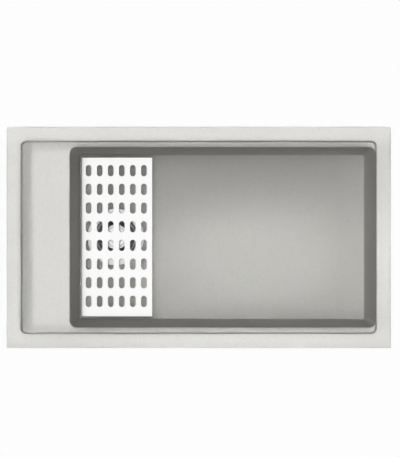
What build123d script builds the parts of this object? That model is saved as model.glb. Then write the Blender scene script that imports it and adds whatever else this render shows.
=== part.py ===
from build123d import *

import os
from math import cos, floor, radians, sin, tan

# Rim: the flat band that lies on the worktop
rim_length = 750.0
rim_depth = 432.0
rim_width = 28.0
rim_thickness = 10.0
rim_corner_radius = 2.0
rim_edge_radius = 1.5

# Recess: the step down to the ledge inside the rim
recess_drop = 18.0
recess_corner_radius = 10.5
recess_floor_radius = 3.0
ledge_side = 11.0
ledge_left = 93.5
ledge_thickness = 9.0
lip_radius = 2.5

# Bowl
bowl_depth = 205.0
bowl_corner_radius = 4.2
bowl_floor_easing = 2.0
wall_draft = 2.6
wall_thickness = 8.0
floor_thickness = 10.0
floor_slope = 1.0
outer_floor_radius = 9.0

# Seal strip in a groove under the rim
seal_width = 8.0
seal_thickness = 2.0
seal_edge_inset = 5.0
seal_corner_radius = 1.0

# Drain cover: folded sheet pan, upside down, on feet
cover_width = 145.5
cover_height = 22.0
cover_sheet = 1.2
cover_skirt = 12.0
cover_fold_radius = 1.4
cover_gap = 5.9
slot_width = 11.5
slot_length = 23.0
slot_pitch_x = 22.5
slot_pitch_y = 38.0
slot_side_margin = 9.0
slot_end_margin = 13.0
slot_shift_left = 1.0
slot_shift_back = 2.0
foot_diameter = 11.0
foot_inset = 9.5
foot_bevel = 1.5

# Strainer body: flange, cup and threaded outlet
cup_inside_diameter = 84.0
cup_wall = 1.5
cup_depth = 58.0
cup_mouth_radius = 4.0
cup_corner_radius = 6.0
flange_width = 16.5
flange_thickness = 1.2
flange_edge_bevel = 0.8
outlet_bore_margin = 1.45
outlet_wall = 3.4
outlet_length = 20.0
spoke_count = 4
spoke_width = 5.0
spoke_height = 3.0
spoke_drop = 11.0
spoke_hub_wall = 3.2

# Drain seat in the bowl floor
drain_from_left = 83.0
drain_hole_clearance = 2.0
drain_pad_margin = 6.5
drain_pad_height = 4.0
flange_recess_drop = 1.2

# Rings that clamp the strainer to the floor
ring_clearance = 0.8
flange_gasket_thickness = 2.0
flange_gasket_inset = 2.0
under_gasket_thickness = 4.0
under_gasket_width = 14.5
friction_washer_thickness = 1.5
friction_washer_width = 12.5
locknut_height = 15.0
locknut_width = 10.5
locknut_ring_wall = 7.0
locknut_flange_height = 4.0
locknut_lug_count = 6
locknut_lug_width = 10.0
locknut_lug_round = 2.5

# Basket, stopper, stem and cap
basket_side_gap = 1.0
basket_rim_drop = 5.0
basket_rim_bead = 1.2
basket_bottom_diameter = 54.0
basket_sheet = 0.9
basket_slot_count = 14
basket_slot_width = 4.0
basket_slot_length = 20.0
basket_hole_count = 10
basket_hole_diameter = 4.5
basket_hole_circle = 38.0
stopper_overlap = 4.5
stopper_thickness = 5.0
stopper_bevel = 1.5
stopper_nut_wall = 5.0
stopper_nut_height = 4.0
stem_diameter = 8.0
stem_clearance = 0.3
stem_fit = 0.05
stem_tip = 6.0
stem_collar_width = 3.0
stem_collar_height = 4.0
stem_end_bevel = 1.5
retainer_width = 3.0
retainer_thickness = 1.0
cap_diameter = 52.0
cap_drop = 7.0
cap_sheet = 1.6
cap_edge_height = 4.0
cap_ring_depth = 0.6
cap_ring_places = (0.8, 0.45)

# Tailpiece and slip nut
tail_diameter = 38.1
tail_wall = 1.2
tail_length = 82.0
tail_flange_gap = 1.45
tail_flange_thickness = 1.5
tail_washer_thickness = 2.0
slip_nut_wall = 5.4
slip_nut_lip = 3.0
slip_nut_overlap = 14.0
slip_nut_clearance = 0.7
slip_nut_tail_gap = 1.4
slip_nut_chamfer = 1.5

# Worktop clips
boss_width = 18.0
boss_drop = 33.0
boss_edge_inset = 0.5
boss_round = 2.0
clip_end_inset = 47.0
clip_axis_inset = 5.2
clip_arm_width = 9.6
clip_arm_reach = 34.0
clip_arm_sheet = 3.0
clip_toe_length = 8.0
clip_toe_rise = 6.0
clip_bend_radius = 1.5
clip_hole_clearance = 0.3
bolt_diameter = 5.0
bolt_tip_gap = 2.0
bolt_head_across_flats = 8.0
bolt_head_height = 3.5
bolt_head_chamfer = 0.6
clip_washer_width = 2.5
clip_washer_thickness = 1.0
insert_wall = 1.3
insert_length = 12.0

# Levels and edges of the casting
rim_top = rim_thickness
ledge_top = rim_top - recess_drop
ledge_under = ledge_top - ledge_thickness
boss_under = ledge_top - boss_drop
floor_at_drain = rim_top - bowl_depth
recess_half_x = rim_length / 2 - rim_width
recess_half_y = rim_depth / 2 - rim_width
bowl_left = -recess_half_x + ledge_left
bowl_right = recess_half_x
bowl_half_y = recess_half_y - ledge_side
draft_slope = tan(radians(wall_draft))
draft_at_ledge = recess_drop * draft_slope
bowl_mouth_radius = bowl_corner_radius + bowl_depth * draft_slope
bowl_floor_radius = bowl_corner_radius - bowl_floor_easing
clip_axis_y = recess_half_y + wall_thickness - clip_axis_inset

# Levels and diameters of the strainer, from the flange down to the outlet
drain_x = bowl_left + draft_at_ledge + drain_from_left
cup_outside_diameter = cup_inside_diameter + 2 * cup_wall
flange_diameter = cup_inside_diameter + 2 * flange_width
drain_hole_diameter = cup_outside_diameter + 2 * drain_hole_clearance
ring_bore = cup_outside_diameter + 2 * ring_clearance
outlet_bore = tail_diameter + 2 * outlet_bore_margin
outlet_diameter = outlet_bore + 2 * outlet_wall
tail_flange_diameter = outlet_diameter - 2 * tail_flange_gap
flange_top = floor_at_drain - flange_recess_drop
flange_under = flange_top - flange_thickness
flange_seat = flange_under - flange_gasket_thickness
pad_under = floor_at_drain - floor_thickness - drain_pad_height
washer_top = pad_under - under_gasket_thickness
locknut_top = washer_top - friction_washer_thickness
cup_floor = flange_top - cup_depth
cup_under = cup_floor - cup_wall
outlet_end = cup_under - outlet_length
tail_top = outlet_end - tail_washer_thickness
tail_seat = tail_top - tail_flange_thickness

# Levels of the basket, from its stopper on the cup floor up to its cap
stopper_top = cup_floor + stopper_thickness
basket_under = stopper_top + stem_collar_height
basket_floor = basket_under + basket_sheet
basket_rim_top = flange_top - basket_rim_drop
cap_top = flange_top - cap_drop
cap_under = cap_top - cap_sheet
spoke_under = cup_floor - spoke_drop - spoke_height

# Standing on something below, or hanging from something above
STANDING = (Align.CENTER, Align.CENTER, Align.MIN)
HANGING = (Align.CENTER, Align.CENTER, Align.MAX)


def wall_inset(z):
    """How far the drafted walls have come in at height z, from the rim top."""
    return (rim_top - z) * draft_slope


def floor_plane(x, lift=0.0):
    """The sloped floor's plane at x, lifted square to the floor."""
    slope = radians(floor_slope)
    up = Vector(-sin(slope), 0, cos(slope))
    along = Vector(cos(slope), 0, sin(slope))
    on_floor = Vector(x, 0, floor_at_drain + (x - drain_x) * tan(slope))
    return Plane(on_floor + up * lift, x_dir=along, z_dir=up)


def drafted_block(left, right, half_y, corner_radius, depth):
    """A rounded block that hangs from the rim top and narrows downward."""
    outline = RectangleRounded(right - left, 2 * half_y, corner_radius)
    block = extrude(outline, depth, taper=wall_draft)
    return Pos((left + right) / 2, 0, rim_top) * Rot(180, 0, 0) * block


def recess_block(depth, grow=0.0):
    """The recess, grown by a wall where asked."""
    half_x = recess_half_x + grow
    half_y = recess_half_y + grow
    return drafted_block(-half_x, half_x, half_y, recess_corner_radius + grow, depth)


def bowl_block(floor_radius, grow=0.0, drop=0.0):
    """The bowl down to its sloped floor, grown by a wall and a floor where asked."""
    left = bowl_left - grow
    right = bowl_right + grow
    radius = bowl_mouth_radius + grow
    bottom = floor_plane(drain_x, -drop)
    deepest = rim_top - floor_plane(left, -drop).origin.Z
    block = drafted_block(left, right, bowl_half_y + grow, radius, deepest)
    block = split(block, bisect_by=bottom, keep=Keep.TOP)
    rim_of_floor = [e for e in block.edges() if abs(bottom.to_local_coords(e.center()).Z) < 0.01]
    return fillet(rim_of_floor, floor_radius)


def lip_section():
    """Outline of what a round lip takes off the ledge's edge, out along x and down along z."""
    r = lip_radius
    shoulder = (r, 0, 0)
    middle = (r - r * cos(radians(45)), 0, r * sin(radians(45)) - r)
    foot = (-r * draft_slope, 0, -r)
    sides = Polyline(foot, (-r, 0, -r), (-r, 0, r), (r, 0, r), shoulder)
    return make_face([*sides.edges(), ThreePointArc(shoulder, middle, foot)])


def lip_cutter():
    """Rounds the edge where the ledge turns down into the bowl."""
    left = bowl_left + draft_at_ledge
    right = bowl_right - draft_at_ledge
    half_y = bowl_half_y - draft_at_ledge
    corner = bowl_mouth_radius - draft_at_ledge
    section = lip_section()
    bend = revolve(Pos(corner, 0, 0) * section, axis=Axis.Z, revolution_arc=90)
    long_run = extrude(section, right - left - 2 * corner, dir=(0, 1, 0))
    short_run = extrude(section, 2 * (half_y - corner), dir=(0, 1, 0))
    x_low = left + corner
    x_high = right - corner
    y_high = half_y - corner
    pieces = [
        Pos(x_high, y_high, ledge_top) * bend,
        Pos(x_high, half_y, ledge_top) * Rot(0, 0, 90) * long_run,
        Pos(x_low, y_high, ledge_top) * Rot(0, 0, 90) * bend,
        Pos(left, y_high, ledge_top) * Rot(0, 0, 180) * short_run,
        Pos(x_low, -y_high, ledge_top) * Rot(0, 0, 180) * bend,
        Pos(x_low, -half_y, ledge_top) * Rot(0, 0, 270) * long_run,
        Pos(x_high, -y_high, ledge_top) * Rot(0, 0, 270) * bend,
    ]
    return pieces[0].fuse(*pieces[1:]) & recess_block(recess_drop + 2 * lip_radius)


def seal_loop():
    """The seal strip's closed loop, from the worktop plane up to the groove's end."""
    outer_x = rim_length - 2 * seal_edge_inset
    outer_y = rim_depth - 2 * seal_edge_inset
    outer = RectangleRounded(outer_x, outer_y, seal_corner_radius + seal_width)
    inner = RectangleRounded(outer_x - 2 * seal_width, outer_y - 2 * seal_width, seal_corner_radius)
    return extrude(outer - inner, seal_thickness)


def clip_spots():
    """Each clip's bolt axis in x and which way is out of the sink (+1 back, -1 front)."""
    reach = recess_half_x - clip_end_inset
    return [(x, side) for side in (-1, 1) for x in (-reach, 0.0, reach)]


def clip_place(x, side):
    """Frame of one clip: on the bolt axis under its boss, y pointing out of the sink."""
    return Pos(x, side * clip_axis_y, boss_under) * Rot(0, 0, 0 if side > 0 else 180)


def boss():
    """Cast boss that runs down from the ledge beside the bowl, bored for one insert."""
    outer = recess_half_y + wall_thickness - wall_inset(ledge_under) - boss_edge_inset
    tall = (ledge_top + ledge_under) / 2 - boss_under
    block = Box(boss_width, outer - bowl_half_y, tall, align=STANDING)
    block = fillet(block.edges().filter_by(Axis.Z), boss_round)
    block = Pos(0, (outer + bowl_half_y) / 2 - clip_axis_y, 0) * block
    return block - Cylinder(bolt_diameter / 2 + insert_wall, insert_length, align=STANDING)


def sink_bowl():
    """The casting: rim, recess, ledge, bowl, clip bosses and drain seat."""
    rim = extrude(RectangleRounded(rim_length, rim_depth, rim_corner_radius), rim_thickness)
    rim = fillet(rim.edges().group_by(Axis.Z)[-1], rim_edge_radius)
    tray = recess_block(rim_top - ledge_under, wall_thickness)
    shell = bowl_block(outer_floor_radius, wall_thickness, floor_thickness)
    pad_radius = flange_diameter / 2 + drain_pad_margin
    pad = Cylinder(pad_radius, floor_at_drain - pad_under, align=STANDING)
    body = rim + tray + shell + Pos(drain_x, 0, pad_under) * pad
    for x, side in clip_spots():
        body = body + clip_place(x, side) * boss()
    recess = recess_block(recess_drop)
    recess = fillet(recess.edges().group_by(Axis.Z)[0], recess_floor_radius)
    body = body - (recess + bowl_block(bowl_floor_radius)) - lip_cutter()
    top_face = body.faces().filter_by(Plane.XY).sort_by(Axis.Z)[-1]
    body = fillet(top_face.inner_wires()[0].edges(), rim_edge_radius)
    seat = Cylinder(flange_diameter / 2 + ring_clearance, floor_thickness, align=STANDING)
    hole = Cylinder(drain_hole_diameter / 2, 2 * (floor_thickness + drain_pad_height))
    body = body - Pos(drain_x, 0, flange_seat) * seat - Pos(drain_x, 0, flange_seat) * hole
    return body - seal_loop()


# The cover stands clear of the left, front and back walls at the height of its top
cover_top = floor_at_drain + cover_height
cover_length = 2 * (bowl_half_y - wall_inset(cover_top) - cover_gap)
cover_x = bowl_left + wall_inset(cover_top) + cover_gap + cover_width / 2


def drain_cover():
    """Perforated sheet pan, upside down over the drain."""
    pan = Box(cover_width, cover_length, cover_skirt, align=HANGING)
    pan = fillet(pan.edges().filter_by(Axis.Z), cover_fold_radius)
    pan = fillet(pan.edges().group_by(Axis.Z)[-1], cover_fold_radius)
    inside_x = cover_width - 2 * cover_sheet
    inside_y = cover_length - 2 * cover_sheet
    pan = pan - Pos(0, 0, -cover_sheet) * Box(inside_x, inside_y, cover_skirt, align=HANGING)
    columns = floor((cover_width - 2 * slot_side_margin - slot_width) / slot_pitch_x) + 1
    rows = floor((cover_length - 2 * slot_end_margin - slot_length) / slot_pitch_y) + 1
    slot = SlotOverall(slot_length, slot_width, rotation=90)
    grid = GridLocations(slot_pitch_x, slot_pitch_y, columns, rows)
    slots = extrude(Sketch() + [place * slot for place in grid], -2 * cover_sheet)
    pan = pan - Pos(-slot_shift_left, slot_shift_back, 0) * slots
    return floor_plane(cover_x, cover_height).location * pan


def drain_cover_feet():
    """Soft feet between the cover's underside and the floor, one at each corner."""
    foot = Cylinder(foot_diameter / 2, cover_height - cover_sheet, align=STANDING)
    foot = chamfer(foot.edges().group_by(Axis.Z)[0], foot_bevel)
    corners = GridLocations(cover_width - 2 * foot_inset, cover_length - 2 * foot_inset, 2, 2)
    return [floor_plane(cover_x).location * corner * foot for corner in corners]


def turned(points, rounds=(), bevels=()):
    """A piece turned about the drain axis from (radius, height) points.

    Each pair in rounds or bevels is a point's place in the list and the size put there.
    """
    outline = make_face(Polyline(*[(r, 0, z) for r, z in points], close=True))
    for ease, corners in ((fillet, rounds), (chamfer, bevels)):
        for index, size in corners:
            corner = Vector(points[index][0], 0, points[index][1])
            outline = ease(outline.vertices().sort_by_distance(corner)[0], size)
    return Pos(drain_x, 0, 0) * revolve(outline, axis=Axis.Z)


def ring(bore, diameter, bottom, top):
    """A plain ring round the drain axis."""
    inner = bore / 2
    outer = diameter / 2
    return turned([(inner, bottom), (outer, bottom), (outer, top), (inner, top)])


def strainer_body():
    """Flange, cup, threaded outlet and the cross bar that guides the stem."""
    inner = cup_inside_diameter / 2
    outer = cup_outside_diameter / 2
    body = turned(
        [
            (flange_diameter / 2, flange_top),
            (flange_diameter / 2, flange_under),
            (outer, flange_under),
            (outer, cup_under),
            (outlet_diameter / 2, cup_under),
            (outlet_diameter / 2, outlet_end),
            (outlet_bore / 2, outlet_end),
            (outlet_bore / 2, cup_floor),
            (inner, cup_floor),
            (inner, flange_top),
        ],
        [(3, cup_corner_radius + cup_wall), (8, cup_corner_radius), (9, cup_mouth_radius)],
        [(0, flange_edge_bevel), (2, cup_mouth_radius - flange_thickness)],
    )
    stem_hole = stem_diameter / 2 + stem_clearance
    bar = Cylinder(stem_hole + spoke_hub_wall, spoke_height, align=STANDING)
    spoke_length = (outlet_bore + outlet_wall) / 2
    spoke = Box(spoke_length, spoke_width, spoke_height, align=(Align.MIN, Align.CENTER, Align.MIN))
    for index in range(spoke_count):
        bar = bar + Rot(0, 0, 360 / spoke_count * (index + 0.5)) * spoke
    bar = bar - Cylinder(stem_hole, spoke_height, align=STANDING)
    return body + Pos(drain_x, 0, spoke_under) * bar


def flange_gasket():
    """Soft ring between the flange and its seat in the floor."""
    bore = drain_hole_diameter + 2 * flange_gasket_inset
    return ring(bore, flange_diameter - 2 * flange_gasket_inset, flange_seat, flange_under)


def under_gasket():
    """Rubber ring against the drain pad under the bowl."""
    return ring(ring_bore, cup_outside_diameter + 2 * under_gasket_width, washer_top, pad_under)


def friction_washer():
    """Fibre ring that lets the lock nut turn without dragging the gasket."""
    diameter = cup_outside_diameter + 2 * friction_washer_width
    return ring(ring_bore, diameter, locknut_top, washer_top)


def locknut():
    """Wide ring nut with lugs for a spanner."""
    inner = ring_bore / 2
    wall = inner + locknut_ring_wall
    outer = cup_outside_diameter / 2 + locknut_width
    shoulder = locknut_top - locknut_flange_height
    bottom = locknut_top - locknut_height
    nut = turned(
        [
            (inner, locknut_top),
            (outer, locknut_top),
            (outer, shoulder),
            (wall, shoulder),
            (wall, bottom),
            (inner, bottom),
        ]
    )
    reach = outer - wall + locknut_ring_wall / 2
    lug = Box(reach, locknut_lug_width, shoulder - bottom, align=(Align.MAX, Align.CENTER, Align.MIN))
    lug = fillet(lug.edges().filter_by(Axis.Z).group_by(Axis.X)[-1], locknut_lug_round)
    for index in range(locknut_lug_count):
        turn = Rot(0, 0, 360 / locknut_lug_count * index)
        nut = nut + Pos(drain_x, 0, bottom) * turn * Pos(outer, 0, 0) * lug
    return nut


def strainer_basket():
    """Perforated tapered cup with a rolled rim."""
    outer = cup_inside_diameter / 2 - basket_side_gap
    low = basket_bottom_diameter / 2
    hub = stem_diameter / 2 + stem_fit
    neck = basket_rim_top - basket_rim_bead
    wall_top = outer - basket_rim_bead
    cup = turned(
        [
            (hub, basket_under),
            (low, basket_under),
            (wall_top, neck),
            (outer, neck),
            (outer, basket_rim_top),
            (wall_top - basket_sheet, basket_rim_top),
            (low - basket_sheet, basket_floor),
            (hub, basket_floor),
        ],
        bevels=[(1, 2 * basket_sheet), (6, basket_sheet)],
    )
    slot = SlotOverall(basket_slot_length, basket_slot_width, rotation=90)
    slot = extrude(Plane.YZ * slot, low, both=True)
    slot = Pos((low + wall_top) / 2, 0, (basket_under + neck) / 2) * slot
    hole = Cylinder(basket_hole_diameter / 2, 4 * basket_sheet)
    hole = Pos(basket_hole_circle / 2, 0, basket_floor) * hole
    cuts = [Rot(0, 0, 360 / basket_slot_count * index) * slot for index in range(basket_slot_count)]
    cuts += [Rot(0, 0, 360 / basket_hole_count * index) * hole for index in range(basket_hole_count)]
    return cup - [Pos(drain_x, 0, 0) * cut for cut in cuts]


def basket_stopper():
    """Rubber disc that closes the outlet when the basket is down."""
    inner = stem_diameter / 2 + stem_fit
    outer = outlet_bore / 2 + stopper_overlap
    points = [(inner, cup_floor), (outer, cup_floor), (outer, stopper_top), (inner, stopper_top)]
    return turned(points, bevels=[(2, stopper_bevel)])


def stopper_nut():
    """Nut under the stopper that holds it against the stem's collar."""
    bore = stem_diameter + 2 * stem_fit
    return ring(bore, bore + 2 * stopper_nut_wall, cup_floor - stopper_nut_height, cup_floor)


def basket_stem():
    """Stem from below the cross bar up to the cap, with a collar that spaces the basket."""
    r = stem_diameter / 2
    collar = r + stem_collar_width
    tip = spoke_under - stem_tip
    points = [(0, tip), (r, tip), (r, stopper_top), (collar, stopper_top)]
    points += [(collar, basket_under), (r, basket_under), (r, cap_under), (0, cap_under)]
    return turned(points, bevels=[(1, stem_end_bevel)])


def basket_retainer():
    """Push-on ring that holds the basket down on the stem's collar."""
    bore = stem_diameter + 2 * stem_fit
    return ring(bore, bore + 2 * retainer_width, basket_floor, basket_floor + retainer_thickness)


def basket_cap():
    """Round cap with turned rings, the grip that lifts the basket."""
    r = cap_diameter / 2
    skirt = cap_top - cap_edge_height
    groove = cap_top - cap_ring_depth
    points = [(0, cap_under), (r - cap_sheet, cap_under), (r - cap_sheet, skirt), (r, skirt), (r, cap_top)]
    for place in cap_ring_places:
        middle = r * place
        points += [(middle + cap_sheet, cap_top), (middle + cap_sheet / 2, groove)]
        points += [(middle - cap_sheet / 2, groove), (middle - cap_sheet, cap_top)]
    return turned(points + [(0, cap_top)], [(4, cap_sheet)])


def tailpiece():
    """Flanged tube below the outlet."""
    inner = tail_diameter / 2 - tail_wall
    outer = tail_diameter / 2
    flange = tail_flange_diameter / 2
    end = tail_top - tail_length
    points = [(inner, end), (outer, end), (outer, tail_seat), (flange, tail_seat)]
    return turned(points + [(flange, tail_top), (inner, tail_top)])


def tailpiece_washer():
    """Soft ring between the outlet and the tailpiece."""
    return ring(outlet_bore, tail_flange_diameter, tail_top, outlet_end)


def slip_nut():
    """Hexagon nut that pulls the tailpiece flange up against the outlet."""
    bottom = tail_seat - slip_nut_lip
    top = outlet_end + slip_nut_overlap
    bore = outlet_diameter + 2 * slip_nut_clearance
    hexagon = RegularPolygon(outlet_diameter / 2 + slip_nut_wall, 6, major_radius=False)
    nut = Pos(drain_x, 0, bottom) * extrude(hexagon, top - bottom)
    nut = chamfer(nut.edges().group_by(Axis.Z)[0], slip_nut_chamfer)
    nut = nut - Pos(drain_x, 0, tail_seat) * Cylinder(bore / 2, top - tail_seat, align=STANDING)
    lip_bore = Cylinder(tail_diameter / 2 + slip_nut_tail_gap, 2 * slip_nut_lip)
    return nut - Pos(drain_x, 0, tail_seat) * lip_bore


def clip_arm(x, side):
    """Pressed arm with an eye for the bolt and a toe that bites under the worktop."""
    eye = clip_arm_width / 2
    toe = clip_arm_reach - clip_toe_length
    ramp = toe - clip_toe_rise
    under = clip_toe_rise - clip_arm_sheet
    shift = clip_arm_sheet * tan(radians(22.5))
    points = [
        (-eye, 0, 0),
        (ramp, 0, 0),
        (toe, 0, clip_toe_rise),
        (clip_arm_reach, 0, clip_toe_rise),
        (clip_arm_reach, 0, under),
        (toe + shift, 0, under),
        (ramp + shift, 0, -clip_arm_sheet),
        (-eye, 0, -clip_arm_sheet),
    ]
    profile = make_face(Polyline(*points, close=True))
    bends = [profile.vertices().sort_by_distance(points[index])[0] for index in (1, 2, 5, 6)]
    profile = fillet(bends, clip_bend_radius)
    arm = extrude(profile, eye, dir=(0, 1, 0), both=True)
    round_end = Cylinder(eye, 2 * clip_arm_reach) + Box(
        clip_arm_reach, clip_arm_width, 2 * clip_arm_reach, align=(Align.MIN, Align.CENTER, Align.CENTER)
    )
    arm = arm & round_end
    arm = arm - Cylinder(bolt_diameter / 2 + clip_hole_clearance, 4 * clip_arm_sheet)
    return clip_place(x, side) * Rot(0, 0, 0 if side > 0 else 180) * arm


def at_each_clip(piece):
    """One copy of a fastener at every clip."""
    return [clip_place(x, side) * piece for x, side in clip_spots()]


def clip_bolts():
    """Hexagon bolts, head down, through the arms into the inserts."""
    seat = -clip_arm_sheet - clip_washer_thickness
    shank = Cylinder(bolt_diameter / 2, insert_length - bolt_tip_gap - seat, align=STANDING)
    head = extrude(RegularPolygon(bolt_head_across_flats / 2, 6, major_radius=False), -bolt_head_height)
    head = chamfer(head.edges().group_by(Axis.Z)[0], bolt_head_chamfer)
    return at_each_clip(Pos(0, 0, seat) * (shank + head))


def clip_washers():
    """Plain washers between the bolt heads and the arms."""
    washer = Cylinder(bolt_diameter / 2 + clip_washer_width, clip_washer_thickness, align=HANGING)
    washer = washer - Cylinder(bolt_diameter / 2, clip_washer_thickness, align=HANGING)
    return at_each_clip(Pos(0, 0, -clip_arm_sheet) * washer)


def clip_inserts():
    """Brass threaded inserts moulded into the bosses."""
    sleeve = Cylinder(bolt_diameter / 2 + insert_wall, insert_length, align=STANDING)
    return at_each_clip(sleeve - Cylinder(bolt_diameter / 2, insert_length, align=STANDING))


nodes = {
    "sink_bowl": sink_bowl(),
    "rim_seal": seal_loop(),
    "drain_cover": drain_cover(),
    "drain_cover_feet": drain_cover_feet(),
    "strainer_body": strainer_body(),
    "flange_gasket": flange_gasket(),
    "under_gasket": under_gasket(),
    "friction_washer": friction_washer(),
    "locknut": locknut(),
    "strainer_basket": strainer_basket(),
    "basket_stopper": basket_stopper(),
    "stopper_nut": stopper_nut(),
    "basket_stem": basket_stem(),
    "basket_retainer": basket_retainer(),
    "basket_cap": basket_cap(),
    "tailpiece": tailpiece(),
    "tailpiece_washer": tailpiece_washer(),
    "slip_nut": slip_nut(),
    "clip_bolts": clip_bolts(),
    "clip_washers": clip_washers(),
    "clip_inserts": clip_inserts(),
}
clip_names = ("front_left", "front_middle", "front_right", "back_left", "back_middle", "back_right")
for clip_name, (clip_x, clip_side) in zip(clip_names, clip_spots()):
    nodes["clip_arm_" + clip_name] = clip_arm(clip_x, clip_side)

os.makedirs("parts", exist_ok=True)
for name, piece in nodes.items():
    whole = Compound(children=piece) if isinstance(piece, list) else piece
    export_step(whole, "parts/" + name + ".step")
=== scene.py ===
# %% [markdown]
# A kitchen sink cast in pale granite composite, with a slotted steel cover over its drain.
# The casting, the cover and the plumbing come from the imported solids. This script gives each one its
# finish and adds the small turned and pressed details that the solids leave out.

# %% Load the frame
import bpy
import bmesh
import math
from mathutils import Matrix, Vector


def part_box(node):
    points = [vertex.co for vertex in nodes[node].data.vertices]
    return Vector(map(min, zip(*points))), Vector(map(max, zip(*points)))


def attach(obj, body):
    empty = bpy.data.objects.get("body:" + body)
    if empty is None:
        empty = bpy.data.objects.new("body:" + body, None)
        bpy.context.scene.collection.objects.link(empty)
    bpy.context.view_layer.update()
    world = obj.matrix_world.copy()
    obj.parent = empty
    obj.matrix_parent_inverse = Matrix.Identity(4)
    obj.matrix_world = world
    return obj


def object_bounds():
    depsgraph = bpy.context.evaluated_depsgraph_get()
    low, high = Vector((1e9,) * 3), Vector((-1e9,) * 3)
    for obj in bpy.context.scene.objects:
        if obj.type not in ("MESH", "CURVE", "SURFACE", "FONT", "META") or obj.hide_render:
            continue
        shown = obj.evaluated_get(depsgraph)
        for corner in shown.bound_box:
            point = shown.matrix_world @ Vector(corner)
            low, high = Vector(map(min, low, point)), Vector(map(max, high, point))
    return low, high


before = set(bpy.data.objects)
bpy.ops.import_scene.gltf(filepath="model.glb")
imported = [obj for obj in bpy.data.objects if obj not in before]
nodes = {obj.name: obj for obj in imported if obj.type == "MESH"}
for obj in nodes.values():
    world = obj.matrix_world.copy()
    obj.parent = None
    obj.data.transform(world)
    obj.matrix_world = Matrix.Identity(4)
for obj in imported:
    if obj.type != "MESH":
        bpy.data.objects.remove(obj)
cad_low, cad_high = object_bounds()
MM = 0.001
print("nodes:", len(nodes), "size in mm:", [round(v / MM) for v in cad_high - cad_low])

# %% [markdown]
# Every finish is a node tree on one Principled BSDF. A tree is quicker to read when each helper adds
# one node and returns the socket that carries its result, so that a finish reads from top to bottom.
# Patterns are laid out in Object coordinates, which are metres here, so a scale of 1000 gives marks
# about 1 mm across, and a pattern stays put on its piece when the piece moves.

# %% Start of a finish
def new_finish(name):
    """A material with a Principled BSDF and its output."""
    finish = bpy.data.materials.new(name)
    finish.use_nodes = True
    return finish, finish.node_tree, finish.node_tree.nodes["Principled BSDF"]


def object_place(tree, scale=(1, 1, 1), centre=(0, 0, 0)):
    """Object coordinates, moved to a centre and stretched along each axis."""
    coordinates = tree.nodes.new("ShaderNodeTexCoord")
    mapping = tree.nodes.new("ShaderNodeMapping")
    mapping.inputs["Scale"].default_value = scale
    mapping.inputs["Location"].default_value = [-c * s for c, s in zip(centre, scale)]
    tree.links.new(coordinates.outputs["Object"], mapping.inputs["Vector"])
    return mapping.outputs["Vector"]


def feed(tree, value, socket):
    """Link another socket into this one, or set a plain number or colour on it."""
    if isinstance(value, bpy.types.NodeSocket):
        tree.links.new(value, socket)
    else:
        socket.default_value = value


# %% [markdown]
# Two patterns are enough for the whole sink. Noise is soft and cloudy. Stretched, it gives brushed lines,
# and read along the distance from an axis, it gives turned rings. Voronoi cells have sharp borders and a
# random colour each, as crushed stone has.

# %% Patterns
# Most of a noise's values lie between these two.
NOISE_LOW = 0.3
NOISE_HIGH = 0.7


def noise(tree, place, scale, detail, roughness=0.5):
    """Soft cloudy noise, as a factor from 0 to 1."""
    node = tree.nodes.new("ShaderNodeTexNoise")
    node.inputs["Scale"].default_value = scale
    node.inputs["Detail"].default_value = detail
    node.inputs["Roughness"].default_value = roughness
    tree.links.new(place, node.inputs["Vector"])
    return node.outputs["Fac"]


def grains(tree, place, scale):
    """Cells of crushed stone: a random grey for each cell, and the distance from the cell's middle."""
    node = tree.nodes.new("ShaderNodeTexVoronoi")
    node.inputs["Scale"].default_value = scale
    tree.links.new(place, node.inputs["Vector"])
    split = tree.nodes.new("ShaderNodeSeparateColor")
    tree.links.new(node.outputs["Color"], split.inputs["Color"])
    return split.outputs["Red"], node.outputs["Distance"]


# %% [markdown]
# A pattern is only a number at each point of the surface. A ramp turns that number into a colour, and a
# tint mixes two colours by it.

# %% From a pattern to a colour
# A Mix node has a set of sockets for each kind of value, so its colour sockets go by number.
MIX_FACTOR, MIX_FIRST, MIX_SECOND, MIX_RESULT = 0, 6, 7, 2


def ramp(tree, factor, stops):
    """A colour ramp from (position, colour) stops."""
    node = tree.nodes.new("ShaderNodeValToRGB")
    band = node.color_ramp
    while len(band.elements) < len(stops):
        band.elements.new(0.5)
    for element, (position, colour) in zip(band.elements, stops):
        element.position = position
        element.color = (*colour, 1.0)
    tree.links.new(factor, node.inputs["Fac"])
    return node.outputs["Color"]


def tint(tree, factor, first, second):
    """Two colours mixed by a factor."""
    node = tree.nodes.new("ShaderNodeMix")
    node.data_type = "RGBA"
    feed(tree, factor, node.inputs[MIX_FACTOR])
    feed(tree, first, node.inputs[MIX_FIRST])
    feed(tree, second, node.inputs[MIX_SECOND])
    return node.outputs[MIX_RESULT]


# %% [markdown]
# The same number can say how rough the surface is and how high it stands. A spread fits it to a range of
# roughness, one step of arithmetic joins it to another pattern, and a bump makes it relief. When one
# pattern drives colour, roughness and relief, they agree with each other, as on a real surface.

# %% From a pattern to roughness and relief
def spread(tree, factor, low, high, start=0.0, end=1.0):
    """The factor's range from start to end, spread from low to high."""
    node = tree.nodes.new("ShaderNodeMapRange")
    node.inputs["From Min"].default_value = start
    node.inputs["From Max"].default_value = end
    node.inputs["To Min"].default_value = low
    node.inputs["To Max"].default_value = high
    tree.links.new(factor, node.inputs["Value"])
    return node.outputs["Result"]


def combine(tree, how, first, second=0.0):
    """One arithmetic step on one or two factors."""
    node = tree.nodes.new("ShaderNodeMath")
    node.operation = how
    feed(tree, first, node.inputs[0])
    feed(tree, second, node.inputs[1])
    return node.outputs[0]


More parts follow.
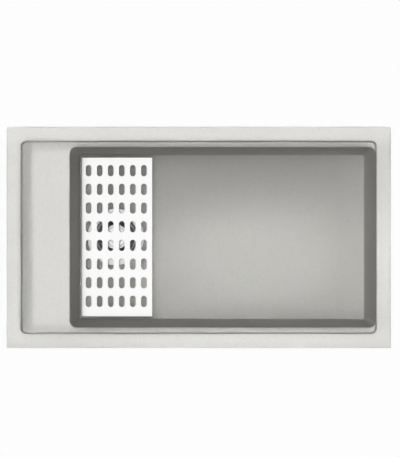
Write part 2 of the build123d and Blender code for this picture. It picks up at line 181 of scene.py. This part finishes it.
def raise_surface(tree, shader, height, depth, strength):
    """Bump from a height factor, depth in metres."""
    node = tree.nodes.new("ShaderNodeBump")
    node.inputs["Strength"].default_value = strength
    node.inputs["Distance"].default_value = depth
    tree.links.new(height, node.inputs["Height"])
    tree.links.new(node.outputs["Normal"], shader.inputs["Normal"])


# %% [markdown]
# Granite composite is crushed quartz in tinted resin. From arm's length it is one even pale grey, and
# close to, it is a dense mix of grains about a millimetre across with a dry, faintly pitted skin. Noise
# alone would look like cloud, so two sizes of Voronoi cells give the grains, their gloss and the pits,
# and noise only adds a faint haze to the colour. The greys sit close together, because the real mix is
# nearly uniform.

# %% Granite composite
FINE_GRAINS = 1500
COARSE_GRAINS = 620
HAZE_CLOUDS = 14
FINE_GREYS = [
    (0.0, (0.53, 0.524, 0.502)),
    (0.25, (0.63, 0.623, 0.597)),
    (1.0, (0.70, 0.693, 0.667)),
]
FLECK_GREYS = [
    (0.0, (0.45, 0.445, 0.426)),
    (0.07, (0.65, 0.643, 0.617)),
    (1.0, (0.66, 0.653, 0.627)),
]
HAZE_GREY = (0.605, 0.599, 0.574, 1.0)
FLECK_SHARE = 0.35
HAZE_SHARE = 0.12
GRAIN_ROUGH = (0.66, 0.8)
GRAIN_GLOSS = 0.15
PIT_DEPTH = 0.12 * MM
PIT_VARIETY = (0.6, 1.0)


def granite_composite():
    """Pale crushed quartz with a few darker flecks."""
    finish, tree, shader = new_finish("granite_composite")
    place = object_place(tree)
    fine, fine_distance = grains(tree, place, FINE_GRAINS)
    coarse, coarse_distance = grains(tree, place, COARSE_GRAINS)
    haze = noise(tree, place, HAZE_CLOUDS, detail=3.0)
    body = ramp(tree, fine, FINE_GREYS)
    flecks = ramp(tree, coarse, FLECK_GREYS)
    mixed = tint(tree, FLECK_SHARE, body, flecks)
    hazed = tint(tree, spread(tree, haze, 0.0, HAZE_SHARE, NOISE_LOW, NOISE_HIGH), mixed, HAZE_GREY)
    tree.links.new(hazed, shader.inputs["Base Color"])
    tree.links.new(spread(tree, fine, *GRAIN_ROUGH), shader.inputs["Roughness"])
    shader.inputs["Specular IOR Level"].default_value = GRAIN_GLOSS
    pits = combine(tree, "MULTIPLY", fine_distance, spread(tree, coarse_distance, *PIT_VARIETY))
    raise_surface(tree, shader, pits, PIT_DEPTH, strength=0.5)
    return finish


finishes = {"granite": granite_composite()}
print("granite:", len(finishes["granite"].node_tree.nodes), "nodes")

# %% [markdown]
# The drain cover is rolled stainless sheet, brushed one way. The scratches are long and thin, so the noise
# is stretched along the sheet. They change how rough each line is more than its colour, which makes a
# brushed sheet glow softly instead of mirroring the room. An anisotropic shader would give the glow
# as well, but not the lines that show from close by.

# %% Satin steel sheet
BRUSH_STRETCH = (2500, 25, 2500)
BRUSH_LOW = 0.25
BRUSH_HIGH = 0.75
SHEET_GREYS = [(NOISE_LOW, (0.93, 0.93, 0.926)), (NOISE_HIGH, (0.985, 0.985, 0.982))]
SHEET_ROUGH = (0.08, 0.16)
SMEAR_CLOUDS = 18
SMEAR_ROUGH = (-0.03, 0.03)
SCRATCH_DEPTH = 0.01 * MM


def satin_sheet():
    """Bright steel with fine scratches one way and faint smears over them."""
    finish, tree, shader = new_finish("satin_cover_sheet")
    scratches = noise(tree, object_place(tree, BRUSH_STRETCH), scale=1.0, detail=4.0, roughness=0.65)
    smears = noise(tree, object_place(tree), SMEAR_CLOUDS, detail=2.0)
    tree.links.new(ramp(tree, scratches, SHEET_GREYS), shader.inputs["Base Color"])
    shader.inputs["Metallic"].default_value = 1.0
    lines = spread(tree, scratches, *SHEET_ROUGH, BRUSH_LOW, BRUSH_HIGH)
    smeared = combine(tree, "ADD", lines, spread(tree, smears, *SMEAR_ROUGH))
    tree.links.new(smeared, shader.inputs["Roughness"])
    raise_surface(tree, shader, scratches, SCRATCH_DEPTH, strength=0.4)
    return finish


finishes["cover_sheet"] = satin_sheet()
print("cover sheet:", len(finishes["cover_sheet"].node_tree.nodes), "nodes")

# %% [markdown]
# The strainer, its basket and the pipe are spun or turned, which leaves fine rings round the drain's
# axis. A wave pattern would draw rings that are all alike, so noise is read along the distance from that
# axis instead, and the mapping is centred on the drain. The clips' brass inserts share the finish: so
# far from the axis, the rings pass for fine straight lines.

# %% Turned metal
drain_low, drain_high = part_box("strainer_body")
drain = (drain_low + drain_high) / 2
RING_LIGHTER = 0.06
RING_DARKER = 0.1
RING_DEPTH = 0.01 * MM
RING_STRENGTH = 0.35


def ring_place(tree, width):
    """Coordinates that count rings of one width outwards from the drain's axis and along it."""
    parts = tree.nodes.new("ShaderNodeSeparateXYZ")
    tree.links.new(object_place(tree, centre=(drain.x, drain.y, 0.0)), parts.inputs["Vector"])
    across = combine(tree, "POWER", parts.outputs["X"], 2.0)
    along = combine(tree, "POWER", parts.outputs["Y"], 2.0)
    radius = combine(tree, "SQRT", combine(tree, "ADD", across, along))
    counted = tree.nodes.new("ShaderNodeCombineXYZ")
    tree.links.new(combine(tree, "DIVIDE", radius, width), counted.inputs["X"])
    tree.links.new(combine(tree, "DIVIDE", parts.outputs["Z"], width), counted.inputs["Y"])
    return counted.outputs["Vector"]


def turned_metal(name, colour, rough, ring_width, marks=1.0):
    """Bright metal with fine rings round the drain's axis; marks says how plainly they show."""
    finish, tree, shader = new_finish(name)
    rings = noise(tree, ring_place(tree, ring_width), scale=1.0, detail=2.0, roughness=0.6)
    light = [min(1.0, c * (1 + RING_LIGHTER * marks)) for c in colour]
    dark = [c * (1 - RING_DARKER * marks) for c in colour]
    colours = ramp(tree, rings, [(NOISE_LOW, dark), (NOISE_HIGH, light)])
    tree.links.new(colours, shader.inputs["Base Color"])
    shader.inputs["Metallic"].default_value = 1.0
    tree.links.new(spread(tree, rings, *rough, NOISE_LOW, NOISE_HIGH), shader.inputs["Roughness"])
    raise_surface(tree, shader, rings, RING_DEPTH, RING_STRENGTH * marks)
    return finish


turned = {
    "strainer_steel": turned_metal("spun_strainer_steel", (0.78, 0.78, 0.775), (0.16, 0.26), 0.4 * MM),
    "basket_steel": turned_metal("drawn_basket_steel", (0.9, 0.9, 0.895), (0.5, 0.6), 0.6 * MM, marks=0.3),
    "cap_steel": turned_metal("polished_cap_steel", (0.9, 0.9, 0.895), (0.1, 0.18), 0.3 * MM),
    "chrome": turned_metal("chrome_plate", (0.6, 0.607, 0.615), (0.06, 0.1), 0.6 * MM, marks=0.25),
    "brass": turned_metal("turned_brass", (0.6, 0.43, 0.18), (0.22, 0.34), 0.4 * MM),
}
finishes.update(turned)
print("turned finishes:", ", ".join(turned))

# %% [markdown]
# Small hardware is plated, pressed or moulded. Up close none of it is one flat colour: zinc plate is
# cloudy, foam has cells, and pressed fibre has strands. One function serves them all, with a colour that
# varies a little, a roughness that varies with it, and a grain size that suits how the piece is made.

# %% Plated, pressed and moulded finishes
RELIEF_FINER = 3


def plain_finish(name, dark, light, rough, grain, metallic=0.0, relief=0.05 * MM):
    """A lightly mottled surface; grain is how many marks lie along a metre."""
    finish, tree, shader = new_finish(name)
    place = object_place(tree)
    mottle = noise(tree, place, grain, detail=4.0, roughness=0.6)
    colours = ramp(tree, mottle, [(NOISE_LOW, dark), (NOISE_HIGH, light)])
    tree.links.new(colours, shader.inputs["Base Color"])
    tree.links.new(spread(tree, mottle, *rough, NOISE_LOW, NOISE_HIGH), shader.inputs["Roughness"])
    shader.inputs["Metallic"].default_value = metallic
    bumps = noise(tree, place, grain * RELIEF_FINER, detail=3.0)
    raise_surface(tree, shader, bumps, relief, strength=0.3)
    return finish


plain = {
    "zinc": plain_finish(
        "zinc_plate", (0.43, 0.44, 0.45), (0.6, 0.61, 0.62), (0.3, 0.48), 240, metallic=1.0),
    "rubber": plain_finish(
        "black_rubber", (0.018, 0.018, 0.019), (0.035, 0.035, 0.037), (0.55, 0.75), 300),
    "silicone": plain_finish("grey_silicone", (0.3, 0.3, 0.305), (0.38, 0.38, 0.385), (0.4, 0.55), 200),
    "foam": plain_finish(
        "sealing_foam", (0.03, 0.03, 0.032), (0.07, 0.07, 0.073), (0.8, 0.95), 900, relief=0.4 * MM),
    "fibre": plain_finish("pressed_fibre", (0.3, 0.19, 0.1), (0.46, 0.31, 0.17), (0.7, 0.9), 500),
    "white_plastic": plain_finish(
        "white_washer", (0.74, 0.74, 0.72), (0.84, 0.84, 0.82), (0.35, 0.5), 150),
}
finishes.update(plain)
print("plain finishes:", ", ".join(plain))

# %% [markdown]
# The solids keep their shapes, so each one only trades its plain colour for a finish. A table from piece
# to finish is easier to check against the real sink than a line of code for each piece.

# %% Dress the solids
dress = {
    "sink_bowl": "granite",
    "rim_seal": "foam",
    "drain_cover": "cover_sheet",
    "drain_cover_feet": "silicone",
    "strainer_body": "strainer_steel",
    "flange_gasket": "rubber",
    "under_gasket": "rubber",
    "friction_washer": "fibre",
    "locknut": "zinc",
    "strainer_basket": "basket_steel",
    "basket_stopper": "rubber",
    "stopper_nut": "brass",
    "basket_stem": "cap_steel",
    "basket_retainer": "strainer_steel",
    "basket_cap": "cap_steel",
    "tailpiece": "chrome",
    "tailpiece_washer": "white_plastic",
    "slip_nut": "chrome",
    "clip_bolts": "zinc",
    "clip_washers": "zinc",
    "clip_inserts": "brass",
}
clip_names = ("front_left", "front_middle", "front_right", "back_left", "back_middle", "back_right")
for clip in clip_names:
    dress["clip_arm_" + clip] = "zinc"
for node, finish in dress.items():
    nodes[node].data.materials.clear()
    nodes[node].data.materials.append(finishes[finish])
print("dressed:", len(dress), "of", len(nodes))

# %% [markdown]
# The small details that follow are modelled one at a time, as by hand. An operator acts on everything
# that is selected, so each piece starts with nothing selected, and corners are then picked by where
# they lie.

# %% Start of a piece
def start_clean():
    """Object mode, with nothing selected."""
    if bpy.context.object and bpy.context.object.mode != "OBJECT":
        bpy.ops.object.mode_set(mode="OBJECT")
    bpy.ops.object.select_all(action="DESELECT")


def pick_corners(piece, test):
    """In edit mode, select only the corners that pass a test."""
    bpy.ops.mesh.select_mode(type="VERT")
    bpy.ops.mesh.select_all(action="DESELECT")
    mesh = bmesh.from_edit_mesh(piece.data)
    for corner in mesh.verts:
        corner.select_set(test(corner))
    mesh.select_flush_mode()
    bmesh.update_edit_mesh(piece.data)


# %% [markdown]
# A piece that was wound or spun has doubled corners and may be inside out, so its doubles are merged and
# its faces turned outwards. A finished piece keeps its place in its mesh, as the solids do, takes its
# finish and rides on a body, so that it moves with it.

# %% End of a piece
MERGE_DISTANCE = 0.005 * MM
SMOOTH_ANGLE = math.radians(40)


def close_mesh():
    """In edit mode, merge doubles and turn every face outwards."""
    bpy.ops.mesh.select_all(action="SELECT")
    bpy.ops.mesh.remove_doubles(threshold=MERGE_DISTANCE)
    bpy.ops.mesh.normals_make_consistent(inside=False)


def settle(piece, finish, body):
    """Put the place into the mesh, smooth the soft edges, give the finish and tie the piece to a body."""
    start_clean()
    piece.select_set(True)
    bpy.context.view_layer.objects.active = piece
    bpy.ops.object.transform_apply(location=True, rotation=True, scale=True)
    bpy.ops.object.shade_smooth_by_angle(angle=SMOOTH_ANGLE)
    piece.data.materials.clear()
    piece.data.materials.append(finishes[finish])
    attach(piece, body)
    print(piece.name, "rides", body, "with", len(piece.data.polygons), "faces")


# %% [markdown]
# The strainer cup is threaded outside for its lock nut, and its outlet for the slip nut. A thread has to
# sit on the wall that carries it, so the two radii are measured on the strainer's solid, and not guessed.

# %% Walls that carry a thread
nut_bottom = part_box("locknut")[0].z


def radius_near(level, reach):
    """The largest distance of the strainer from the drain's axis, near a level."""
    near = [c.co for c in nodes["strainer_body"].data.vertices if abs(c.co.z - level) < reach]
    return max(math.hypot(c.x - drain.x, c.y - drain.y) for c in near)


cup_radius = radius_near(nut_bottom, reach=20 * MM)
outlet_radius = radius_near(drain_low.z, reach=2 * MM)
print("cup and outlet radius in mm:", round(cup_radius / MM, 2), round(outlet_radius / MM, 2))

# %% [markdown]
# A bump could draw a thread, but its ridges show in the outline, so they are modelled. A thread is one
# small diamond wound round the axis: half of it lies in the wall and half stands out as the ridge. The
# Screw modifier does the winding, and merging each open end to a point makes the thread run out. The
# cup's thread starts below the lock nut and ends inside it.

# %% Thread of the cup
THREAD_TURNS = 6
THREAD_STEPS = 72
# Half the width of the ridge, where it leaves the wall, as a share of the pitch.
RIDGE_SHARE = 0.42
CUP_PITCH = 3.0 * MM
CUP_DEPTH = 0.7 * MM
BELOW_NUT = 14 * MM


def wind_thread(name, radius, bottom, turns, pitch, depth):
    """A thread that starts at a level and runs out at both ends."""
    start_clean()
    place = (drain.x, drain.y, bottom)
    upright = (math.pi / 2, 0, 0)
    bpy.ops.mesh.primitive_circle_add(vertices=4, radius=depth, location=place, rotation=upright)
    thread = bpy.context.object
    thread.name = name
    bpy.ops.object.transform_apply(location=False, rotation=True, scale=False)
    bpy.ops.object.mode_set(mode="EDIT")
    bpy.ops.mesh.select_all(action="SELECT")
    bpy.ops.transform.resize(value=(1, 1, RIDGE_SHARE * pitch / depth))
    bpy.ops.transform.translate(value=(radius, 0, 0))
    bpy.ops.object.mode_set(mode="OBJECT")
    wind = thread.modifiers.new("wind", "SCREW")
    wind.axis = "Z"
    wind.angle = 2 * math.pi
    wind.screw_offset = pitch
    wind.iterations = turns
    wind.steps = wind.render_steps = THREAD_STEPS
    bpy.ops.object.modifier_apply(modifier=wind.name)
    bpy.ops.object.mode_set(mode="EDIT")
    for end in (0.0, turns * pitch):
        pick_corners(thread, lambda c: c.is_boundary and abs(c.co.z - end) < pitch / 2)
        bpy.ops.mesh.merge(type="CENTER")
    close_mesh()
    return thread


cup_start = nut_bottom - BELOW_NUT
cup_thread = wind_thread("cup_thread", cup_radius, cup_start, THREAD_TURNS, CUP_PITCH, CUP_DEPTH)
settle(cup_thread, "strainer_steel", "sink")

# %% [markdown]
# The outlet is smaller and its thread finer. It starts a little above the outlet's end, where a real
# thread leaves a plain lead for the nut.

# %% Thread of the outlet
OUTLET_PITCH = 2.2 * MM
OUTLET_DEPTH = 0.55 * MM
ABOVE_OUTLET = 6 * MM
outlet_start = drain_low.z + ABOVE_OUTLET
outlet_thread = wind_thread(
    "outlet_thread", outlet_radius, outlet_start, THREAD_TURNS, OUTLET_PITCH, OUTLET_DEPTH)
settle(outlet_thread, "strainer_steel", "sink")

# %% [markdown]
# The basket's sheet is rolled over at the rim, which leaves a round bright bead. A ready-made torus would
# do, but a profile that is drawn first and then spun works for a rolled edge of any section. Here it is
# one small circle, spun once round the drain's axis and merged where it meets itself.

# %% Rolled rim of the basket
BEAD_RADIUS = 1.05 * MM
BEAD_DROP = 0.6 * MM
BEAD_SIDES = 14
BEAD_STEPS = 120
basket_low, basket_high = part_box("strainer_basket")
bead_circle = (basket_high.x - basket_low.x) / 2 - BEAD_RADIUS
bead_place = (drain.x, drain.y, basket_high.z - BEAD_DROP)
start_clean()
bpy.ops.mesh.primitive_circle_add(
    vertices=BEAD_SIDES, radius=BEAD_RADIUS, location=bead_place, rotation=(math.pi / 2, 0, 0))
bead = bpy.context.object
bead.name = "basket_rolled_rim"
bpy.ops.object.transform_apply(location=False, rotation=True, scale=False)
bpy.ops.object.mode_set(mode="EDIT")
bpy.ops.mesh.select_all(action="SELECT")
bpy.ops.transform.translate(value=(bead_circle, 0, 0))
bpy.ops.mesh.spin(steps=BEAD_STEPS, angle=2 * math.pi, center=bead_place, axis=(0, 0, 1))
close_mesh()
settle(bead, "cap_steel", "basket")

# %% [markdown]
# A clip bites into the underside of the worktop with a row of pressed teeth on its toe. Cutting them out
# of the arm would change its solid, so they are set on it, with their feet sunk into the sheet. The flat
# top of the toe is found first, among the highest corners of the arm.

# %% Toe of a clip
FLAT_WITHIN = 0.05 * MM


def toe_of(arm):
    """Lowest and highest corner of the flat top of an arm's toe."""
    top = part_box(arm)[1].z
    flat = [c.co for c in nodes[arm].data.vertices if abs(c.co.z - top) < FLAT_WITHIN]
    low = Vector([min(c[axis] for c in flat) for axis in range(3)])
    high = Vector([max(c[axis] for c in flat) for axis in range(3)])
    return low, high


first_low, first_high = toe_of("clip_arm_" + clip_names[0])
print("toe in mm:", [round(v / MM, 1) for v in first_high - first_low])

# %% [markdown]
# One tooth starts as a block. Its top is drawn together to a ridge, its edges are bevelled, because a
# press leaves no sharp ones, and an Array repeats it along the toe.

# %% One row of teeth
TOOTH_COUNT = 3
TOOTH_HEIGHT = 0.7 * MM
TOOTH_BEVEL = 0.12 * MM
# Both as shares: a tooth's foot of the pitch, and its ridge of the foot.
FOOT_SHARE = 0.8
TIP_SHARE = 0.25
SIDE_ROOM = 0.8 * MM


def tooth_row(name, low, high):
    """Ridges across a toe, one behind the other."""
    pitch = (high.x - low.x) / TOOTH_COUNT
    start_clean()
    first = (low.x + pitch / 2, (low.y + high.y) / 2, high.z)
    bpy.ops.mesh.primitive_cube_add(size=1.0, location=first)
    row = bpy.context.object
    row.name = name
    row.scale = (FOOT_SHARE * pitch, high.y - low.y - SIDE_ROOM, 2 * TOOTH_HEIGHT)
    bpy.ops.object.transform_apply(location=False, rotation=False, scale=True)
    bpy.ops.object.mode_set(mode="EDIT")
    pick_corners(row, lambda c: c.co.z > 0)
    bpy.ops.transform.resize(value=(TIP_SHARE, 1, 1))
    bpy.ops.mesh.select_all(action="SELECT")
    bpy.ops.mesh.bevel(offset=TOOTH_BEVEL, segments=2, affect="EDGES")
    bpy.ops.object.mode_set(mode="OBJECT")
    repeat = row.modifiers.new("repeat", "ARRAY")
    repeat.count = TOOTH_COUNT
    repeat.use_relative_offset = False
    repeat.use_constant_offset = True
    repeat.constant_offset_displace = (pitch, 0, 0)
    bpy.ops.object.modifier_apply(modifier=repeat.name)
    return row


first_row = tooth_row("clip_teeth_" + clip_names[0], first_low, first_high)
print(TOOTH_COUNT, "teeth with", len(first_row.data.polygons), "faces")

# %% [markdown]
# The six clips are alike, so the row is modelled once and copied to the other arms. Each copy has a mesh
# of its own, because its place goes into the mesh, and each rides on its own clip.

# %% Teeth on every clip
for clip in clip_names[1:]:
    row = first_row.copy()
    row.data = first_row.data.copy()
    row.name = "clip_teeth_" + clip
    bpy.context.scene.collection.objects.link(row)
    row.location = first_row.location + (toe_of("clip_arm_" + clip)[0] - first_low)
    settle(row, "zinc", "clip_" + clip)
settle(first_row, "zinc", "clip_" + clip_names[0])

# %% [markdown]
# The stage is a pale floor in a white room. A room bright enough to look white would throw too much light
# at the sink. So floor and room are white only where the camera, polished metal or glass sees them, and
# duller to all other light. The Light Path node tells the two kinds of ray apart.

# %% What is seen, and what only gives light
def seen_directly(tree):
    """1 for rays from the camera, from polished metal and through glass, and 0 for all other light."""
    rays = tree.nodes.new("ShaderNodeLightPath")
    seen = combine(tree, "MAXIMUM", rays.outputs["Is Camera Ray"], rays.outputs["Is Glossy Ray"])
    return combine(tree, "MAXIMUM", seen, rays.outputs["Is Transmission Ray"])


def mix_shaders(tree, factor, first, second):
    """Two shaders mixed by a factor."""
    node = tree.nodes.new("ShaderNodeMixShader")
    for value, socket in zip((factor, first, second), node.inputs):
        tree.links.new(value, socket)
    return node.outputs["Shader"]


# %% [markdown]
# The floor is pale paper to all other light. Where it is seen, a little of that paper is left in its
# white, so that it still takes a faint shadow. Its underside is clear, so that the sink can also be
# looked at from below.

# %% Floor
FLOOR_SIZE = 40
FLOOR_GAP = 2 * MM
PAPER_GREY = (0.9, 0.9, 0.9, 1.0)
PAPER_ROUGH = 0.9
SEEN_WHITE = 0.97
start_clean()
bpy.ops.mesh.primitive_plane_add(size=FLOOR_SIZE, location=(0, 0, cad_low.z - FLOOR_GAP))
floor = bpy.context.object
floor.name = "studio_floor"
paper, paper_tree, paper_shader = new_finish("studio_paper")
paper_shader.inputs["Base Color"].default_value = PAPER_GREY
paper_shader.inputs["Roughness"].default_value = PAPER_ROUGH
glow = paper_tree.nodes.new("ShaderNodeEmission")
clear = paper_tree.nodes.new("ShaderNodeBsdfTransparent")
side = paper_tree.nodes.new("ShaderNodeNewGeometry")
glow_share = combine(paper_tree, "MULTIPLY", seen_directly(paper_tree), SEEN_WHITE)
upper = mix_shaders(paper_tree, glow_share, paper_shader.outputs[0], glow.outputs[0])
both_sides = mix_shaders(paper_tree, side.outputs["Backfacing"], upper, clear.outputs[0])
paper_tree.links.new(both_sides, paper_tree.nodes["Material Output"].inputs["Surface"])
floor.data.materials.append(paper)
print("floor lies", round((cad_low.z - floor.location.z) / MM, 1), "mm below the sink")

# %% [markdown]
# The world is the room, built the same way. It is white where it is seen, which the bright cover needs,
# and otherwise gives only a trace of fill, because light from all around would flatten the bowl.

# %% World
FILL_STRENGTH = 0.015
WHITE = (1.0, 1.0, 1.0, 1.0)
world = bpy.data.worlds.new("studio_world")
bpy.context.scene.world = world
world.use_nodes = True
sky = world.node_tree
fill = sky.nodes["Background"]
fill.inputs["Color"].default_value = WHITE
fill.inputs["Strength"].default_value = FILL_STRENGTH
white = sky.nodes.new("ShaderNodeBackground")
white.inputs["Color"].default_value = WHITE
whole_sky = mix_shaders(sky, seen_directly(sky), fill.outputs[0], white.outputs[0])
sky.links.new(whole_sky, sky.nodes["World Output"].inputs["Surface"])
print("world fill:", FILL_STRENGTH)

# %% [markdown]
# In the photograph the flat rim is the brightest of the granite, the floor of the bowl is a shade darker
# and falls off towards the walls, and the walls are darkest, most of all at the left and the back. Broad
# light alone would fill the bowl with bounced light and leave the rim dull beside it. So narrow strips
# with a grid hang close above the rim and the wide ledge, and light little else.

# %% Strips over the rim and the ledge
STRIP_HEIGHT = 0.08
STRIP_BEAM = 24
LONG_STRIP = 0.76
SHORT_STRIP = 0.38
WIDE_STRIP = 0.036
WIDE_INSET = 0.0132
SLIM_STRIP = 0.034
SLIM_INSET = 0.0122
LEDGE_STRIP = (0.09, 0.355)
LEDGE_INSET = 0.0882


def softbox(name, place, aim, size, watts, beam=180):
    """A rectangular lamp that lights the sink but isn't seen or mirrored; a grid narrows its beam."""
    lamp = bpy.data.lights.new(name, "AREA")
    lamp.shape = "RECTANGLE"
    lamp.size, lamp.size_y = size
    lamp.energy = watts
    lamp.spread = math.radians(beam)
    holder = bpy.data.objects.new(name, lamp)
    bpy.context.scene.collection.objects.link(holder)
    holder.location = place
    holder.rotation_euler = (Vector(aim) - Vector(place)).to_track_quat("-Z", "Y").to_euler()
    holder.visible_camera = False
    holder.visible_glossy = False


strips = {
    "strip_front": ((0.0, cad_low.y + WIDE_INSET), (LONG_STRIP, WIDE_STRIP), 0.0625),
    "strip_back": ((0.0, cad_high.y - SLIM_INSET), (LONG_STRIP, SLIM_STRIP), 0.066),
    "strip_left": ((cad_low.x + SLIM_INSET, 0.0), (SLIM_STRIP, SHORT_STRIP), 0.0318),
    "strip_right": ((cad_high.x - WIDE_INSET, 0.0), (WIDE_STRIP, SHORT_STRIP), 0.0278),
    "strip_ledge": ((cad_low.x + LEDGE_INSET, 0.0), LEDGE_STRIP, 0.0715),
}
for name, (place, size, watts) in strips.items():
    softbox(name, (*place, STRIP_HEIGHT), (*place, 0.0), size, watts, STRIP_BEAM)
print("strips:", ", ".join(strips))

# %% [markdown]
# Most of the other light comes from three softboxes. One with a narrow grid sends an upright beam into
# the bowl, which lights its floor and leaves the walls in their own shade. Two large ones high up, one
# overhead and one to the left, soften that and light the right wall more than the left.

# %% Softboxes
BEAM_PLACE = (0.105, -0.037)
BEAM_HEIGHT = 2.0
BEAM_BOX = (0.46, 0.14)
SOFTBOX_HEIGHT = 4.0
ORIGIN = (0.0, 0.0, 0.0)
softbox("bowl_softbox", (*BEAM_PLACE, BEAM_HEIGHT), (*BEAM_PLACE, 0.0), BEAM_BOX, watts=0.174, beam=11)
softbox("left_softbox", (-1.6, 0.0, SOFTBOX_HEIGHT), ORIGIN, size=(2.0, 3.0), watts=34.0)
softbox("top_softbox", (0.0, 0.0, SOFTBOX_HEIGHT), ORIGIN, size=(2.0, 2.0), watts=30.0)
print("lamps so far:", len(bpy.data.lights))

# %% [markdown]
# From the side, the walls below the rim would be dark. Four low cards stand round the sink, below the
# level of the rim, where the inside of the bowl can't see them. So they light the outside alone.

# %% Cards
CARD_SIZE = (1.5, 0.26)
CARD_WATTS = 8.0
CARD_DISTANCE = 1.5
CARD_LEVEL = cad_low.z / 2
for name, across, along in (("front", 0, -1), ("back", 0, 1), ("left", -1, 0), ("right", 1, 0)):
    place = (across * CARD_DISTANCE, along * CARD_DISTANCE, CARD_LEVEL)
    softbox("card_" + name, place, (0.0, 0.0, CARD_LEVEL), CARD_SIZE, CARD_WATTS)
print("cards stand at", round(CARD_LEVEL, 3), "m, lamps in all:", len(bpy.data.lights))

# %% [markdown]
# The photograph looks straight down, as a new camera does. On the floor of the bowl a length looks about
# 4% shorter than on the ledge, which puts the lens a little over four metres above the rim. The middle of
# the picture lies slightly behind and right of the sink's middle. The Standard view keeps colours as
# they are written.

# %% Camera
FRAME_HEIGHT = 457
PIXELS_PER_METRE = 512.4
LENS_ABOVE_RIM = 4.252
PICTURE_MIDDLE = (0.00254, 0.01727)
lens = bpy.data.cameras.new("overhead_camera")
# The picture is taller than wide, so the sensor's width spans its height.
lens.lens = PIXELS_PER_METRE * LENS_ABOVE_RIM * lens.sensor_width / FRAME_HEIGHT
camera = bpy.data.objects.new("overhead_camera", lens)
bpy.context.scene.collection.objects.link(camera)
camera.location = (*PICTURE_MIDDLE, cad_high.z + LENS_ABOVE_RIM)
bpy.context.scene.camera = camera
bpy.context.scene.view_settings.view_transform = "Standard"
print("camera:", round(lens.lens, 1), "mm lens", round(camera.location.z, 3), "m up")
